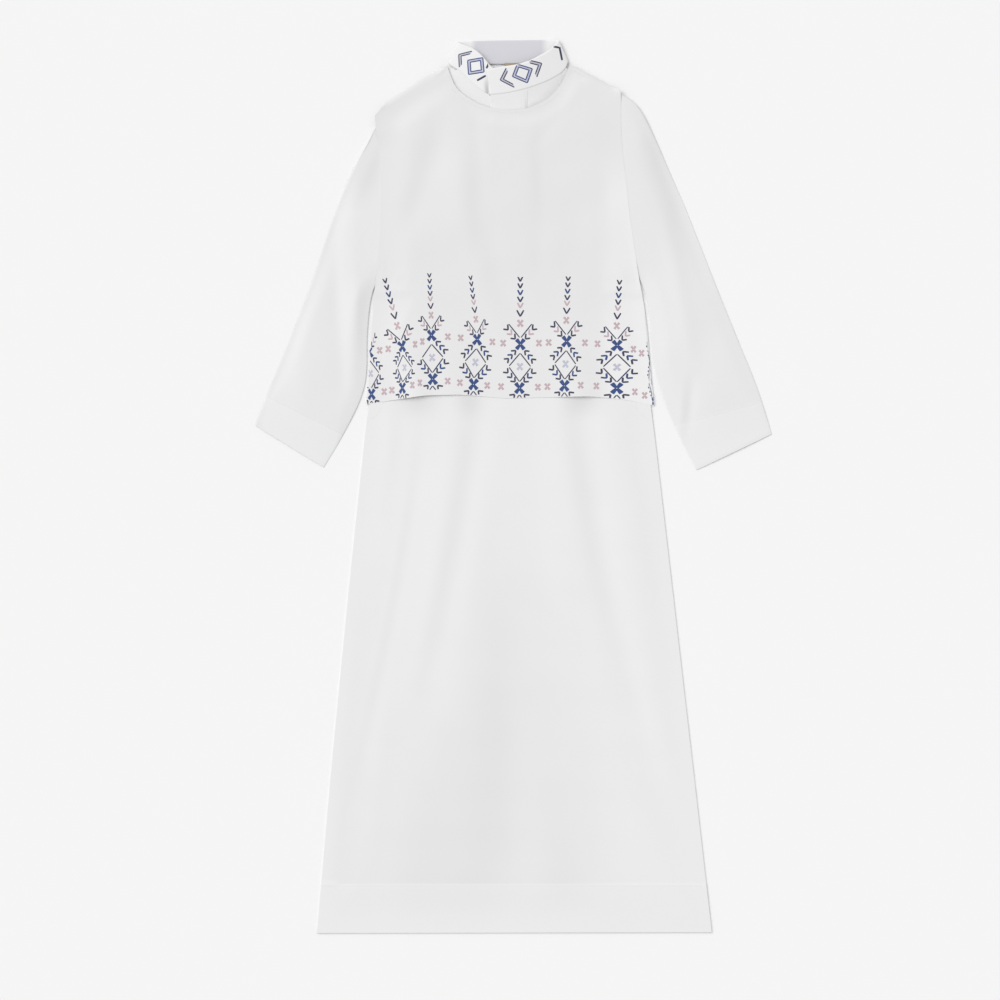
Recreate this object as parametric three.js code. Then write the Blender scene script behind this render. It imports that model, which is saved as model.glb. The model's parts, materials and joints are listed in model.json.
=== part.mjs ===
// A child's thobe laid flat: a long white robe with a stand collar and a half placket, and a cropped
// sleeveless overlay sewn in one with its own back. Every panel is a cloth wall of real thickness, and
// the panels lie on each other from the floor up: overlay back, robe back, robe front, placket,
// overlay front. The sleeves are flattened tubes that lie beside the body.
//
// Millimetres. x runs across the garment, h is the height above the hem line, and z is up from the
// floor. The finished group is moved so that the origin is under the middle of its bounding box.
import * as THREE from 'three';

// ---------------------------------------------------------------- driving dimensions
const LENGTH = 1040;         // hem to the top of the collar
const WALL = 1.2;            // one layer of cloth
const SEAM_GAP = 0.3;        // between pieces that are sewn together
const LAYER_GAP = 0.7;       // air between the overlay and the robe under it
const HEM_DEPTH = 57;        // turned hem of the robe
const CUFF_DEPTH = 38;       // turned hem of each sleeve
const TURNED = 0.6;          // extra wall where a hem is turned
const BODY_AIR = 2.2;        // how far the front stands off the back between the folds
const ARMHOLE_AIR = 2.4;     // the same, halfway down an armhole
const NECK_AIR = 4;          // the same, at the front neckline
const SLEEVE_AIR = 2.6;      // how far a sleeve's upper layer stands off its lower one
const OVERLAY_AIR = 2.4;     // how far the overlay's front stands off the robe
const COLLAR_WALL = 1.8;     // two layers of cloth and an interlining
const ARMHOLE_BOW = 7;       // how far an armhole seam curves in towards the body
const UNDER_OVERLAY = WALL + SEAM_GAP; // height of whatever lies on the overlay's back
const SLEEVE_EDGE = 1.4;     // how far a sleeve's edges are rounded

// ---------------------------------------------------------------- outlines
// Side edges of the robe below the armholes, from the hem up.
const ROBE_SIDES = [
  { h: 0, left: -229, right: 231 },
  { h: 184, left: -213, right: 210 },
  { h: 400, left: -192, right: 185 },
  { h: 586, left: -172.5, right: 163.5 },
  { h: 615, left: -167, right: 159.5 },
  { h: 660, left: -162.5, right: 154 },
  { h: 702, left: -159, right: 150 },
  { h: 770, left: -151, right: 143.5 },
];
const ROBE_HEM = [{ x: -229, h: 0 }, { x: 231, h: 1 }];
// Armhole seams: from the shoulder tip down to the underarm point.
const ARMHOLES = {
  left: { tipX: -146, tipH: 962, underX: -151, underH: 770, inward: 1 },
  right: { tipX: 114, tipH: 981, underX: 144, underH: 766, inward: -1 },
};
// Upper edge of the robe's front, from one shoulder tip round the neckline to the other.
const FRONT_TOP = [
  { x: -146, h: 962 }, { x: -110, h: 985 }, { x: -85, h: 1001 }, { x: -75, h: 1009.5 },
  { x: -64, h: 1002.5 }, { x: -56, h: 995.5 }, { x: -49.5, h: 989 }, { x: -41, h: 982 },
  { x: -34, h: 976.8 }, { x: -27, h: 973.8 }, { x: -7, h: 976.2 }, { x: 12.5, h: 980.6 },
  { x: 35, h: 988.4 }, { x: 46, h: 994 }, { x: 58, h: 1002 }, { x: 62, h: 1012 },
  { x: 74, h: 1001 }, { x: 90, h: 994 }, { x: 114, h: 981 },
];
// Upper edge of the robe's back, with the shallow back neckline.
const BACK_TOP = [
  { x: -146, h: 962 }, { x: -110, h: 985 }, { x: -85, h: 1001 }, { x: -75, h: 1009.5 },
  { x: -45, h: 1010 }, { x: 0, h: 1010 }, { x: 35, h: 1010.5 }, { x: 62, h: 1012 },
  { x: 74, h: 1001 }, { x: 90, h: 994 }, { x: 114, h: 981 },
];
// Side edges of the overlay: armhole edges above, side seams below.
const OVERLAY_SIDES = [
  { h: 614, left: -171.5, right: 164 },
  { h: 660, left: -169, right: 159.5 },
  { h: 702, left: -167, right: 156 },
  { h: 735, left: -163.5, right: 151.5 },
  { h: 760, left: -160.5, right: 146.5 },
  { h: 790, left: -157.5, right: 142 },
  { h: 834, left: -155, right: 135.5 },
  { h: 875, left: -154.5, right: 131 },
  { h: 912, left: -156, right: 126.5 },
  { h: 939, left: -161, right: 125 },
  { h: 952, left: -161.5, right: 125 },
];
const UNDERARM = 735; // the overlay's armholes end at this height and its side seams begin
const OVERLAY_TOP_FRONT = [
  { x: -161.5, h: 952 }, { x: -149, h: 966 }, { x: -135, h: 976 }, { x: -107, h: 994.5 },
  { x: -77, h: 1010 }, { x: -76, h: 998 }, { x: -69.5, h: 986 }, { x: -61, h: 978.5 },
  { x: -52.5, h: 971.8 }, { x: -39.5, h: 964.6 }, { x: -26, h: 960.4 }, { x: -7, h: 958 },
  { x: 16, h: 960 }, { x: 33, h: 967.2 }, { x: 43, h: 973.4 }, { x: 54.5, h: 986 },
  { x: 61, h: 997 }, { x: 63.5, h: 1012 }, { x: 78, h: 1006 },
  { x: 105, h: 991.5 }, { x: 125, h: 980 },
];
const OVERLAY_TOP_BACK = [
  { x: -161.5, h: 952 }, { x: -149, h: 966 }, { x: -135, h: 976 }, { x: -107, h: 994.5 },
  { x: -77, h: 1010 }, { x: -60, h: 1000 }, { x: -8, h: 995 }, { x: 45, h: 1001 },
  { x: 63.5, h: 1012 }, { x: 78, h: 1006 }, { x: 105, h: 991.5 }, { x: 125, h: 980 },
];
const OVERLAY_HEM = [
  { x: -171.5, h: 616 }, { x: -137, h: 621 }, { x: -105, h: 626 }, { x: -63, h: 627 },
  { x: -8, h: 622.5 }, { x: 46, h: 624 }, { x: 90, h: 625 }, { x: 132, h: 621 },
  { x: 164, h: 614 },
];
// Edges of each sleeve from the armhole to the cuff, as it lies: the fold outside, the seam inside.
const SLEEVES = {
  left: {
    fold: [[-146.5, 962], [-158.5, 944], [-166.5, 925], [-179, 904], [-196, 870], [-214, 821],
      [-230, 772], [-248, 723], [-270, 668], [-288, 625], [-301, 591]],
    seam: [[-151.5, 770], [-163.5, 749], [-170, 702], [-173, 638], [-198, 581], [-221, 542]],
  },
  right: {
    fold: [[114.5, 981], [125, 977.5], [136, 973], [148, 960.5], [159, 939.5], [171.5, 911],
      [199, 847], [231, 766], [264, 684], [283, 638], [301, 581]],
    seam: [[144.5, 766], [152.5, 749], [159, 713], [163, 665], [185, 597], [213, 539]],
  },
};
const ARMHOLE_SHAPE = 0.35;  // share of a sleeve's length over which the armhole's curve fades out
const EDGE_SHARE = 0.12;     // share of a sleeve's width over which its folds fade out at the edges
const PLACKET = { left: -27, right: 16, low: 784 };

// ---------------------------------------------------------------- folds
// A row for each fold, followed from its upper end to its lower end: where it runs, how far it lifts
// the cloth at both ends and halfway (a trough is negative), and how wide it is.
const ROBE_FOLDS = [
  { top: [-66, 606], mid: [-88, 455], low: [-112, 300], lift: [2.4, 3.2, 0.8], width: 17 },
  { top: [-44, 606], mid: [-74, 415], low: [-114, 205], lift: [-1.4, -2.6, -0.6], width: 15 },
  { top: [-22, 606], mid: [-44, 470], low: [-66, 330], lift: [1.0, 1.8, 0.4], width: 18 },
  { top: [-116, 560], mid: [-154, 335], low: [-206, 110], lift: [-0.8, -1.6, -0.8], width: 15 },
  { top: [40, 606], mid: [60, 465], low: [76, 320], lift: [1.4, 2.6, 0.4], width: 18 },
  { top: [75, 606], mid: [119, 345], low: [208, 70], lift: [-1.8, -2.8, -1.0], width: 16 },
  { top: [112, 606], mid: [158, 385], low: [192, 150], lift: [1.6, 2.6, 1.0], width: 18 },
  { top: [-8, 330], mid: [-2, 210], low: [6, 60], lift: [-0.4, -1.4, -0.8], width: 18 },
];
const OVERLAY_FOLDS = [
  { top: [-34, 850], mid: [-24, 785], low: [-6, 700], lift: [-0.6, -1.8, -0.6], width: 15 },
  { top: [-84, 950], mid: [-104, 880], low: [-136, 800], lift: [-0.8, -1.5, -0.4], width: 16 },
  { top: [-62, 940], mid: [-66, 860], low: [-72, 770], lift: [0.4, 1.6, 0.4], width: 17 },
  { top: [-130, 720], mid: [-122, 670], low: [-117, 621], lift: [0.4, 4.0, 8.5], width: 14 },
  { top: [-78, 700], mid: [-76, 660], low: [-75, 627], lift: [0.2, 1.6, 3.0], width: 13 },
  { top: [60, 710], mid: [72, 665], low: [80, 625], lift: [0.4, 2.6, 5.4], width: 18 },
  { top: [136, 900], mid: [140, 760], low: [140, 622], lift: [0.6, 1.8, 3.0], width: 15 },
];
const SLEEVE_FOLDS = [
  { top: [-207, 825], mid: [-206, 735], low: [-198, 630], lift: [-0.6, -1.8, -0.6], width: 12 },
  { top: [-188, 850], mid: [-186, 745], low: [-184, 640], lift: [0.4, 1.6, 0.8], width: 12 },
  { top: [-232, 760], mid: [-240, 690], low: [-246, 610], lift: [0.4, 1.6, 0.8], width: 15 },
  { top: [150, 945], mid: [196, 830], low: [228, 735], lift: [-0.8, -1.8, -0.4], width: 14 },
  { top: [164, 860], mid: [188, 755], low: [206, 650], lift: [0.6, 2.0, 0.6], width: 16 },
  { top: [210, 655], mid: [206, 615], low: [202, 570], lift: [-0.4, -2.0, -1.0], width: 10 },
];
const FOLD_FADE = 40; // a fold dies away over this length past its ends

// ---------------------------------------------------------------- curves and folds as functions
const mix = (a, b, t) => a + (b - a) * t;

// 0 before a, 1 after b, and smooth between them.
function ease(a, b, value) {
  const t = THREE.MathUtils.clamp((value - a) / (b - a), 0, 1);
  return t * t * (3 - 2 * t);
}

// Reads column `to` of a table at a value of column `from`, along a straight line between rows.
function read(table, from, to, value) {
  let i = 1;
  while (i < table.length - 1 && table[i][from] < value) i += 1;
  const before = table[i - 1];
  const after = table[i];
  const t = (value - before[from]) / (after[from] - before[from]);
  return mix(before[to], after[to], THREE.MathUtils.clamp(t, 0, 1));
}

// A value that passes through three given ones, at t = 0, a half and 1.
function throughThree([a, b, c], t) {
  const control = 2 * b - (a + c) / 2;
  return (1 - t) ** 2 * a + 2 * t * (1 - t) * control + t ** 2 * c;
}

const smoothCurve = (points) => (
  new THREE.CatmullRomCurve3(points.map((p) => new THREE.Vector3(...p)), false, 'centripetal'));

// How far all the folds of a table together lift the cloth at one place.
function lifted(folds, x, h) {
  let lift = 0;
  for (const { top, mid, low, lift: lifts, width } of folds) {
    const along = (top[1] - h) / (top[1] - low[1]);
    const t = THREE.MathUtils.clamp(along, 0, 1);
    const centre = throughThree([top[0], mid[0], low[0]], t);
    const slope = (low[0] - top[0]) / (top[1] - low[1]);
    const distance = (x - centre) / Math.hypot(1, slope);
    const pastEnd = Math.abs(along - t) * (top[1] - low[1]);
    const across = Math.exp(-((distance / width) ** 2));
    lift += throughThree(lifts, t) * across * (1 - ease(0, FOLD_FADE, pastEnd));
  }
  return lift;
}

// ---------------------------------------------------------------- heights of the layers
// Share of the way down an armhole seam, 0 at the shoulder tip and 1 under the arm.
const downArmhole = (armhole, h) => (armhole.tipH - h) / (armhole.tipH - armhole.underH);

function armholeX(armhole, h) {
  const share = THREE.MathUtils.clamp(downArmhole(armhole, h), 0, 1);
  const bow = ARMHOLE_BOW * Math.sin(Math.PI * share) * armhole.inward;
  return mix(armhole.tipX, armhole.underX, share) + bow;
}

function robeEdge(side, h) {
  const armhole = ARMHOLES[side];
  return h > armhole.underH ? armholeX(armhole, h) : read(ROBE_SIDES, 'h', side, h);
}

const overlayEdge = (side, h) => read(OVERLAY_SIDES, 'h', side, h);

// Height of the cloth that lies lowest: on the overlay's back inside its outline, on the floor away
// from it, and sloping gently down between the two.
const SLOPE_START = 8;
const SLOPE_END = 34;
function ground(x, h) {
  const outside = Math.max(
    overlayEdge('left', h) - x,
    x - overlayEdge('right', h),
    Math.min(...OVERLAY_HEM.map((row) => row.h)) - h,
  );
  return UNDER_OVERLAY * (1 - ease(SLOPE_START, SLOPE_END, outside));
}

// Air between the robe's front and back. It closes at the side and shoulder seams, and keeps the
// sleeve's opening at an armhole and the neck's opening at the neckline.
const EDGE_ROLL = 34;
const NECK_MIDDLE = -7;
const NECK_HALF = 68;
function robeAir(x, h) {
  const toLeft = x - robeEdge('left', h);
  const toRight = robeEdge('right', h) - x;
  const side = toLeft < toRight ? 'left' : 'right';
  const share = downArmhole(ARMHOLES[side], h);
  const atEdge = share > 0 && share < 1 ? ARMHOLE_AIR * Math.sin(Math.PI * share) : 0;
  const inside = Math.max(0, BODY_AIR + lifted(ROBE_FOLDS, x, h));
  const body = mix(atEdge, inside, ease(0, EDGE_ROLL, Math.min(toLeft, toRight)));
  const fromNeck = (x - NECK_MIDDLE) / NECK_HALF;
  const atTop = NECK_AIR * Math.max(0, 1 - fromNeck ** 2);
  return mix(atTop, body, ease(0, EDGE_ROLL, read(FRONT_TOP, 'x', 'h', x) - h));
}

const hemmed = (h) => (h < HEM_DEPTH ? WALL + TURNED : WALL);
const robeBackTop = (x, h) => ground(x, h) + hemmed(h);
const robeFrontUnder = (x, h) => robeBackTop(x, h) + SEAM_GAP + robeAir(x, h);
const robeFrontTop = (x, h) => robeFrontUnder(x, h) + hemmed(h);

// The placket is a flat strip, so it lifts the overlay over its whole width.
const PLACKET_MARGIN = 4;
const PLACKET_ROLL = 14;
function overPlacket(x, h) {
  const outside = Math.max(PLACKET.left - x, x - PLACKET.right, PLACKET.low - h);
  return (WALL + SEAM_GAP) * (1 - ease(PLACKET_MARGIN, PLACKET_ROLL, outside));
}

// The overlay's front lies on the robe and on the sleeve heads, and rolls down to meet its own back
// at the shoulder seams and at the side seams below the armholes.
const SEAM_ROLL = 4.5;
const SIDE_SEAM_BLEND = 10;  // length over which a side seam's roll begins below the underarm
const OVERHANG = 5;          // where the overlay reaches this far past the robe, its seam rolls right down
const ARMHOLE_REACH = 30;    // how far in from an armhole's edge the sleeve's opening lifts it
const ARMHOLE_BLEND = 20;    // length over which an armhole's edge turns into the side seam
function overlayFrontUnder(x, h) {
  const fromSide = Math.min(x - overlayEdge('left', h), overlayEdge('right', h) - x);
  const fromTop = read(OVERLAY_TOP_FRONT, 'x', 'h', x) - h;
  const beyondRobe = read(OVERLAY_TOP_FRONT, 'x', 'h', x) - read(FRONT_TOP, 'x', 'h', x);
  const inArmhole = ease(UNDERARM - ARMHOLE_BLEND, UNDERARM + ARMHOLE_BLEND, h);
  const overSleeve = ARMHOLE_AIR * ease(ARMHOLE_REACH, 0, fromSide) * inArmhole;
  const air = OVERLAY_AIR * ease(0, ARMHOLE_REACH, fromSide) + lifted(OVERLAY_FOLDS, x, h);
  const onRobe = robeFrontTop(x, h) + LAYER_GAP + overPlacket(x, h) + overSleeve + Math.max(0, air);
  const belowArmhole = 1 - ease(UNDERARM - SIDE_SEAM_BLEND, UNDERARM + SIDE_SEAM_BLEND, h);
  const atSideSeam = ease(SEAM_ROLL, 0, fromSide) * belowArmhole;
  const atShoulderSeam = ease(SEAM_ROLL, 0, fromTop) * ease(1, OVERHANG, beyondRobe);
  return mix(onRobe, UNDER_OVERLAY, Math.max(atSideSeam, atShoulderSeam));
}

// ---------------------------------------------------------------- solids
function solid(points, faces) {
  const geometry = new THREE.BufferGeometry();
  const coordinates = points.flatMap((p) => [p.x, p.y, p.z]);
  geometry.setAttribute('position', new THREE.Float32BufferAttribute(coordinates, 3));
  geometry.setIndex(faces.flat());
  geometry.computeVertexNormals();
  return geometry;
}

const quad = (a, b, c, d) => [a, b, c, a, c, d];

// A closed wall between two grids of points, upper[row][column] and lower[row][column].
function wall(upper, lower) {
  const rows = upper.length;
  const columns = upper[0].length;
  const up = (r, c) => r * columns + c;
  const down = (r, c) => rows * columns + up(r, c);
  const faces = [];
  for (let r = 0; r < rows - 1; r += 1) {
    for (let c = 0; c < columns - 1; c += 1) {
      faces.push(quad(up(r, c), up(r, c + 1), up(r + 1, c + 1), up(r + 1, c)));
      faces.push(quad(down(r, c), down(r + 1, c), down(r + 1, c + 1), down(r, c + 1)));
    }
  }
  const rim = [];
  for (let c = 0; c < columns - 1; c += 1) rim.push([0, c]);
  for (let r = 0; r < rows - 1; r += 1) rim.push([r, columns - 1]);
  for (let c = columns - 1; c > 0; c -= 1) rim.push([rows - 1, c]);
  for (let r = rows - 1; r > 0; r -= 1) rim.push([r, 0]);
  rim.forEach(([r, c], i) => {
    const [nextR, nextC] = rim[(i + 1) % rim.length];
    faces.push(quad(up(r, c), down(r, c), down(nextR, nextC), up(nextR, nextC)));
  });
  return solid([...upper.flat(), ...lower.flat()], faces);
}

// A closed tube wall between rings of points, outer[ring][place] and inner[ring][place], both ends open.
function tubeWall(outer, inner) {
  const rings = outer.length;
  const places = outer[0].length;
  const out = (r, p) => r * places + (p % places);
  const into = (r, p) => rings * places + out(r, p);
  const end = rings - 1;
  const faces = [];
  for (let p = 0; p < places; p += 1) {
    for (let r = 0; r < end; r += 1) {
      faces.push(quad(out(r, p), out(r, p + 1), out(r + 1, p + 1), out(r + 1, p)));
      faces.push(quad(into(r, p), into(r + 1, p), into(r + 1, p + 1), into(r, p + 1)));
    }
    faces.push(quad(out(0, p), into(0, p), into(0, p + 1), out(0, p + 1)));
    faces.push(quad(out(end, p), out(end, p + 1), into(end, p + 1), into(end, p)));
  }
  return solid([...outer.flat(), ...inner.flat()], faces);
}

// Even shares from 0 to 1. A second share close to each end follows cloth that rolls over an edge.
function shares(count, nearEdge) {
  const even = Array.from({ length: count + 1 }, (_, i) => i / count);
  return nearEdge ? [0, nearEdge, ...even.slice(1, -1), 1 - nearEdge, 1] : even;
}

// A panel: a grid between two side edges and a lower and an upper edge, its wall from under to top.
function panel({ columns, rows, edge, low, high, under, top }) {
  const grid = rows.map((up) => columns.map((across) => {
    const lowEnd = low(mix(edge('left', 0), edge('right', 0), across));
    const highEnd = high(mix(edge('left', LENGTH), edge('right', LENGTH), across));
    const h = mix(lowEnd, highEnd, up);
    return { x: mix(edge('left', h), edge('right', h), across), h };
  }));
  const at = (height) => ({ x, h }) => new THREE.Vector3(x, h, height(x, h));
  const face = (height) => grid.map((row) => row.map(at(height)));
  return wall(face(top), face(under));
}

// ---------------------------------------------------------------- the pieces
const WHITE = '#f1f1f0';
const BEIGE = '#b9a78f';
const cloth = (name, geometry, color = WHITE) => {
  const material = new THREE.MeshStandardMaterial({ color, roughness: 0.85, metalness: 0 });
  const mesh = new THREE.Mesh(geometry, material);
  mesh.name = name;
  return mesh;
};

const ROBE_ROWS = 34;        // the same on both panels, so that their facets lie parallel
const robeBack = () => panel({
  columns: shares(11),
  rows: shares(ROBE_ROWS),
  edge: robeEdge,
  low: (x) => read(ROBE_HEM, 'x', 'h', x),
  high: (x) => read(BACK_TOP, 'x', 'h', x),
  under: ground,
  top: robeBackTop,
});

const robeFront = () => panel({
  columns: shares(33),
  rows: shares(ROBE_ROWS),
  edge: robeEdge,
  low: (x) => read(ROBE_HEM, 'x', 'h', x),
  high: (x) => read(FRONT_TOP, 'x', 'h', x),
  under: robeFrontUnder,
  top: robeFrontTop,
});

const overlayBack = () => panel({
  columns: shares(18),
  rows: shares(4),
  edge: overlayEdge,
  low: (x) => read(OVERLAY_HEM, 'x', 'h', x),
  high: (x) => read(OVERLAY_TOP_BACK, 'x', 'h', x),
  under: () => 0,
  top: () => WALL,
});

const SIDE_ROLL_SHARE = 0.013;   // the extra column that follows a side seam's roll
const TOP_ROLL_SHARE = 0.012;    // the extra row that follows a shoulder seam's roll
const overlayFront = () => panel({
  columns: shares(34, SIDE_ROLL_SHARE),
  rows: shares(24, TOP_ROLL_SHARE),
  edge: overlayEdge,
  low: (x) => read(OVERLAY_HEM, 'x', 'h', x),
  high: (x) => read(OVERLAY_TOP_FRONT, 'x', 'h', x),
  under: overlayFrontUnder,
  top: (x, h) => overlayFrontUnder(x, h) + WALL,
});

// The placket is made from the front's own surface, moved out.
function placket() {
  const low = shares(12).map((up) => shares(4).map((across) => {
    const x = mix(PLACKET.left, PLACKET.right, across);
    const h = mix(PLACKET.low, read(FRONT_TOP, 'x', 'h', x) - SEAM_GAP, up);
    return new THREE.Vector3(x, h, robeFrontTop(x, h) + SEAM_GAP);
  }));
  const high = low.map((row) => row.map((p) => p.clone().setZ(p.z + WALL)));
  return wall(high, low);
}

// A sleeve is cut in one piece: it lies folded along its outer edge and is seamed along its inner one.
const SLEEVE_RINGS = 18;
const SLEEVE_PLACES = 9;     // points across each layer of a ring
const SLEEVE_HEAD = 0.2;     // share of the length over which the armhole's opening turns into the sleeve
function sleeve(side) {
  const foldEdge = smoothCurve(SLEEVES[side].fold.map(([x, h]) => [x, h, 0]));
  const seamEdge = smoothCurve(SLEEVES[side].seam.map(([x, h]) => [x, h, 0]));
  const ring = (down, skin) => {
    const atFold = foldEdge.getPointAt(down);
    const atSeam = seamEdge.getPointAt(down);
    const toCuff = (1 - down) * foldEdge.getLength();
    const thick = WALL + (toCuff < CUFF_DEPTH ? TURNED : 0);
    const bow = ARMHOLE_BOW * ARMHOLES[side].inward * (1 - ease(0, ARMHOLE_SHAPE, down));
    const point = (across, height) => {
      const p = atFold.clone().lerp(atSeam, across);
      p.x += bow * Math.sin(Math.PI * across);
      return p.setZ(ground(p.x, p.y) + height(p));
    };
    const lift = (across, p) => {
      const crown = 4 * SLEEVE_AIR * across * (1 - across) + lifted(SLEEVE_FOLDS, p.x, p.y);
      const fromEdge = ease(0, EDGE_SHARE, Math.min(across, 1 - across));
      const atArmhole = ARMHOLE_AIR * Math.sin(Math.PI * across);
      return mix(atArmhole, Math.max(0, crown) * fromEdge, ease(0, SLEEVE_HEAD, down));
    };
    const width = atFold.distanceTo(atSeam);
    const edge = (skin * thick) / width;
    const first = (SLEEVE_EDGE + skin * thick) / width;
    const places = shares(SLEEVE_PLACES - 1).map((t) => mix(first, 1 - first, t));
    const upper = places.map((t) => point(t, (p) => (2 - skin) * thick + SEAM_GAP + lift(t, p)));
    const lower = places.map((t) => point(t, () => skin * thick)).reverse();
    const halfway = () => thick + SEAM_GAP / 2;
    return [point(edge, halfway), ...upper, point(1 - edge, halfway), ...lower];
  };
  const rings = (skin) => shares(SLEEVE_RINGS).map((down) => (
    side === 'left' ? ring(down, skin).reverse() : ring(down, skin)));
  return tubeWall(rings(0), rings(1));
}

// Stand collar: a band from its left end, which lies under, round the neck to its right end on top.
// A row for each station: a point of the neck seam and a point of the upper edge.
const COLLAR = [
  { seam: [-26, 975.6, 7.2], edge: [-6.5, 994.6, 9.8] },
  { seam: [-34.4, 979, 7.2], edge: [-12.8, 1000.4, 10.2] },
  { seam: [-42, 984.2, 7.0], edge: [-20.4, 1005.1, 10.6] },
  { seam: [-49.5, 991.2, 6.6], edge: [-28.2, 1011.1, 10.8] },
  { seam: [-56.2, 997.8, 6.0], edge: [-34.4, 1019.2, 10.6] },
  { seam: [-64, 1004.8, 5.2], edge: [-46, 1029.5, 9.4] },
  { seam: [-75.5, 1012, 3.4], edge: [-65, 1037.2, 5.4] },
  { seam: [-66, 1012, 2.1], edge: [-57, 1038, 1.7] },
  { seam: [-45, 1011.6, 2.1], edge: [-43, 1038.8, 1.2] },
  { seam: [-10, 1011.6, 2.1], edge: [-10, 1039.4, 1.1] },
  { seam: [28, 1012, 2.1], edge: [26, 1039.8, 1.2] },
  { seam: [52, 1014, 2.1], edge: [44, 1040, 1.8] },
  { seam: [63, 1015, 3.6], edge: [52.5, 1039, 6.0] },
  { seam: [58.8, 1004, 5.2], edge: [40, 1027, 11.4] },
  { seam: [46.5, 995.6, 6.6], edge: [30.9, 1022, 12.6] },
  { seam: [34.8, 990, 7.8], edge: [22.4, 1017.3, 13.4] },
  { seam: [12.6, 982.4, 9.2], edge: [5.2, 1011.4, 14] },
  { seam: [-7, 977.9, 9.6], edge: [-11.9, 1008.8, 14] },
  { seam: [-27.8, 975.6, 9.6], edge: [-30.9, 1005.3, 13.6] },
];
const COLLAR_STEPS = 48;
const COLLAR_ROWS = 4;

function collar() {
  const along = (key) => smoothCurve(COLLAR.map((row) => row[key]));
  const seam = along('seam');
  const edge = along('edge');
  const middle = shares(COLLAR_ROWS).map((v) => (
    shares(COLLAR_STEPS).map((u) => seam.getPoint(u).lerp(edge.getPoint(u), v))));
  const outwards = (r, c) => {
    const round = middle[r][Math.min(c + 1, COLLAR_STEPS)].clone().sub(middle[r][Math.max(c - 1, 0)]);
    const up = middle[Math.min(r + 1, COLLAR_ROWS)][c].clone().sub(middle[Math.max(r - 1, 0)][c]);
    return round.cross(up).normalize();
  };
  const face = (side) => middle.map((row, r) => row.map((p, c) => (
    p.clone().addScaledVector(outwards(r, c), (side * COLLAR_WALL) / 2))));
  return wall(face(1), face(-1));
}

// A plain woven label, sewn into the back of the neck seam and lying on the robe's back.
const LABEL = { width: 19, height: 11, thick: 1, x: -0.5, h: 1007.6, z: 3.8 };
function neckLabel() {
  const label = new THREE.BoxGeometry(LABEL.width, LABEL.height, LABEL.thick);
  return label.translate(LABEL.x, LABEL.h, LABEL.z);
}

const thobe = new THREE.Group();
thobe.add(
  cloth('overlay_back', overlayBack()),
  cloth('thobe_back', robeBack()),
  cloth('thobe_front', robeFront()),
  cloth('placket', placket()),
  cloth('sleeve_left', sleeve('left')),
  cloth('sleeve_right', sleeve('right')),
  cloth('overlay_front', overlayFront()),
  cloth('collar', collar()),
  cloth('neck_label', neckLabel(), BEIGE),
);
thobe.position.y = -LENGTH / 2;

export default thobe;
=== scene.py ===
"""A child's white thobe laid flat: a long robe with a stand collar, and a cropped overlay with a border."""
import json
import math

import bmesh
import bpy
import numpy as np
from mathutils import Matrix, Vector
from mathutils.bvhtree import BVHTree

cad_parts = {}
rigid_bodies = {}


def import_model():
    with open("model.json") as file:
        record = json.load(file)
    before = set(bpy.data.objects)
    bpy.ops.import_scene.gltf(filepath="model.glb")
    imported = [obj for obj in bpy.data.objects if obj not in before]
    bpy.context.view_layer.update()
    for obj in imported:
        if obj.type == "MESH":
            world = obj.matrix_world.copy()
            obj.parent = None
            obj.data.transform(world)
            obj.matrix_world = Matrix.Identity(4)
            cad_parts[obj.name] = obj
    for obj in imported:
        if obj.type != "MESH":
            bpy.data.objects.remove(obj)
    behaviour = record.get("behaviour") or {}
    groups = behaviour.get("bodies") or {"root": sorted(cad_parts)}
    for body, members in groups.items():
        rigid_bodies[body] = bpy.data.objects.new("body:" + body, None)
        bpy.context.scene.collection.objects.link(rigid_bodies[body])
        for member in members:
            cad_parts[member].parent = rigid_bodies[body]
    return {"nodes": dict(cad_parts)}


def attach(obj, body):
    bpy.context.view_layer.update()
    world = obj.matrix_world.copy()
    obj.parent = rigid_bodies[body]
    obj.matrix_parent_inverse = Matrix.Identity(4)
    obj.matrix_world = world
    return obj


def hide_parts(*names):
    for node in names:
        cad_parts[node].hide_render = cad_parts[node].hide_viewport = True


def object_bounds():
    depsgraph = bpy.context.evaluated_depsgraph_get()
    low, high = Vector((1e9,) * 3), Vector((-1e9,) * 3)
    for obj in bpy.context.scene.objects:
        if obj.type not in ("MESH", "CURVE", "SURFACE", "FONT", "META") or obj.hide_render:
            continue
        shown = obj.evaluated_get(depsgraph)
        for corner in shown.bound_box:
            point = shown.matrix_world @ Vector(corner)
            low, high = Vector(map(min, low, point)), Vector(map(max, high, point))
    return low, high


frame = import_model()
cad_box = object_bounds()

# ---------------------------------------------------------------- robe back
# The back of the long robe: one panel of smooth white dress cloth from the shoulders to the hem. It
# lies flat on the table, under everything but the overlay's own back.
MM = 0.001
HEM_Y = cad_box[0][1]        # the robe's hem line; heights in this script are measured up from it
CLOTH = 0.8 * MM             # a seamed layer of dress cloth
BACK_CLOTH = 1.0 * MM        # the back is raised by this and made this thick, so it lies on the table
WAVE_SEED = 7
WAVE_PERIOD = 0.314          # period of Blender's wave texture at scale 1


def cad_shell(node):
    """A copy of a CAD node's loose triangles, merged to one closed mesh of four-sided faces."""
    shell = bmesh.new()
    shell.from_mesh(frame["nodes"][node].data)
    bmesh.ops.remove_doubles(shell, verts=shell.verts, dist=0.002 * MM)
    bmesh.ops.join_triangles(
        shell,
        faces=shell.faces,
        angle_face_threshold=math.pi,
        angle_shape_threshold=math.pi,
        topology_influence=2,
    )
    return shell


def keep_layer(shell, side, steep=0.25):
    """Leaves only the faces of a panel that look up (side 1) or down (side -1)."""
    away = [face for face in shell.faces if face.normal.z * side < steep]
    bmesh.ops.delete(shell, geom=away, context="FACES")


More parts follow.
